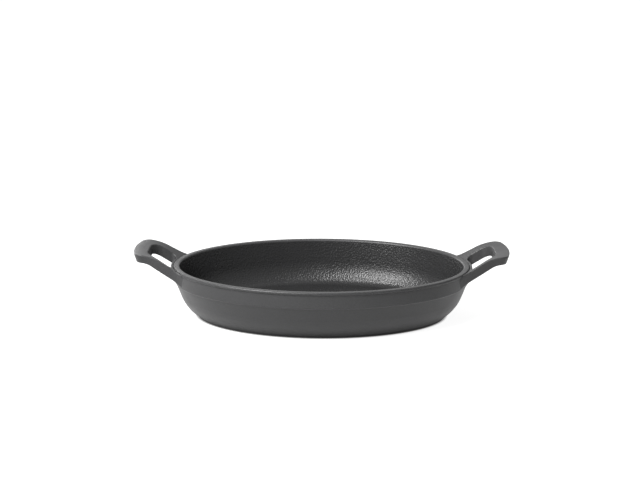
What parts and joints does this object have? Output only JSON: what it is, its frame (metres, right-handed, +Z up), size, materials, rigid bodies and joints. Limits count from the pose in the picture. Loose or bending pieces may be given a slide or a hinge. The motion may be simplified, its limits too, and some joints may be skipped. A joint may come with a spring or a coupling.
{
  "type": "gratin dish",
  "caption": "Shallow oval enamelled cast-iron gratin dish with a rounded rim, a low foot ring and an upswept open loop handle at each end.",
  "frame": {"origin": "middle of the plane that the foot ring stands on", "axes": "+X along the dish from handle to handle, +Y across it, +Z up"},
  "size_m": [0.315, 0.17, 0.0577],
  "materials": {
    "bare_iron": "ground bare on the foot ring, as cast elsewhere",
    "satin_enamel": "satin dark grey enamel",
    "matt_enamel": "rough matt black enamel"
  },
  "bodies": {
    "root": {"iron_casting": "bare_iron", "outer_enamel": "satin_enamel", "inner_enamel": "matt_enamel", "base_enamel": "satin_enamel"}
  },
  "joints": []
}
